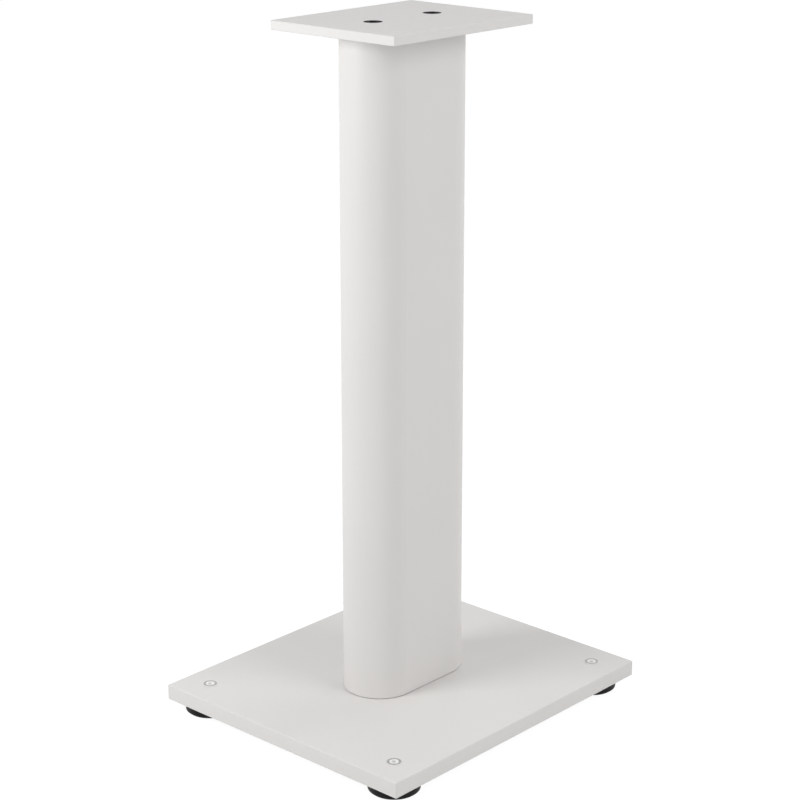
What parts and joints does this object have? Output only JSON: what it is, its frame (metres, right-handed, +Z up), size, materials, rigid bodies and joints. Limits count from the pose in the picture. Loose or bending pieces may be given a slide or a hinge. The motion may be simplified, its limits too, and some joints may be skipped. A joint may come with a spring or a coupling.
{
  "type": "speaker stand",
  "caption": "Floor stand for a small loudspeaker: flat top plate on an obround column over a rectangular base plate with round levelling feet.",
  "frame": {"origin": "on the floor under the middle of the base plate", "axes": "+Z up, -Y the side the speaker faces (a narrow side of the plates), +X along the base plate's shorter side"},
  "size_m": [0.269, 0.312, 0.6],
  "materials": {
    "painted_plate": "satin",
    "painted_column": "satin",
    "black_screw": "satin",
    "insert_zinc": "satin",
    "stud_white": "satin",
    "foot_black": "satin",
    "ring_zinc": "satin",
    "sole_rubber": "matte"
  },
  "bodies": {
    "stand": {"base_plate": "painted_plate", "column": "painted_column", "top_plate": "painted_plate", "top_screw_front": "black_screw", "top_screw_rear": "black_screw", "base_screw_front": "black_screw", "base_screw_rear": "black_screw", "foot_insert_front_left": "insert_zinc", "foot_insert_front_right": "insert_zinc", "foot_insert_rear_left": "insert_zinc", "foot_insert_rear_right": "insert_zinc"},
    "pad_front_left": {"foot_pad_front_left": "foot_black", "foot_ring_front_left": "ring_zinc", "foot_sole_front_left": "sole_rubber"},
    "stud_front_left": {"foot_stud_front_left": "stud_white"},
    "pad_front_right": {"foot_pad_front_right": "foot_black", "foot_ring_front_right": "ring_zinc", "foot_sole_front_right": "sole_rubber"},
    "stud_front_right": {"foot_stud_front_right": "stud_white"},
    "pad_rear_left": {"foot_pad_rear_left": "foot_black", "foot_ring_rear_left": "ring_zinc", "foot_sole_rear_left": "sole_rubber"},
    "stud_rear_left": {"foot_stud_rear_left": "stud_white"},
    "pad_rear_right": {"foot_pad_rear_right": "foot_black", "foot_ring_rear_right": "ring_zinc", "foot_sole_rear_right": "sole_rubber"},
    "stud_rear_right": {"foot_stud_rear_right": "stud_white"}
  },
  "joints": [
    {"name": "foot_height_front_left", "type": "slide", "parent": "stand", "child": "pad_front_left", "axis": [0, 0, 1], "range_m": [-0.005, 0]},
    {"name": "foot_turn_front_left", "type": "hinge", "parent": "pad_front_left", "child": "stud_front_left", "pos_m": [-0.1085, -0.13, 0.0055], "axis": [0, 0, 1], "range_deg": [-1440, 0]},
    {"name": "foot_height_front_right", "type": "slide", "parent": "stand", "child": "pad_front_right", "axis": [0, 0, 1], "range_m": [-0.005, 0]},
    {"name": "foot_turn_front_right", "type": "hinge", "parent": "pad_front_right", "child": "stud_front_right", "pos_m": [0.1085, -0.13, 0.0055], "axis": [0, 0, 1], "range_deg": [-1440, 0]},
    {"name": "foot_height_rear_left", "type": "slide", "parent": "stand", "child": "pad_rear_left", "axis": [0, 0, 1], "range_m": [-0.005, 0]},
    {"name": "foot_turn_rear_left", "type": "hinge", "parent": "pad_rear_left", "child": "stud_rear_left", "pos_m": [-0.1085, 0.13, 0.0055], "axis": [0, 0, 1], "range_deg": [-1440, 0]},
    {"name": "foot_height_rear_right", "type": "slide", "parent": "stand", "child": "pad_rear_right", "axis": [0, 0, 1], "range_m": [-0.005, 0]},
    {"name": "foot_turn_rear_right", "type": "hinge", "parent": "pad_rear_right", "child": "stud_rear_right", "pos_m": [0.1085, 0.13, 0.0055], "axis": [0, 0, 1], "range_deg": [-1440, 0]}
  ],
  "couplings": [
    {"joint": "foot_turn_front_left", "follows": "foot_height_front_left", "rad_per_m": 5026.5},
    {"joint": "foot_turn_front_right", "follows": "foot_height_front_right", "rad_per_m": 5026.5},
    {"joint": "foot_turn_rear_left", "follows": "foot_height_rear_left", "rad_per_m": 5026.5},
    {"joint": "foot_turn_rear_right", "follows": "foot_height_rear_right", "rad_per_m": 5026.5}
  ]
}
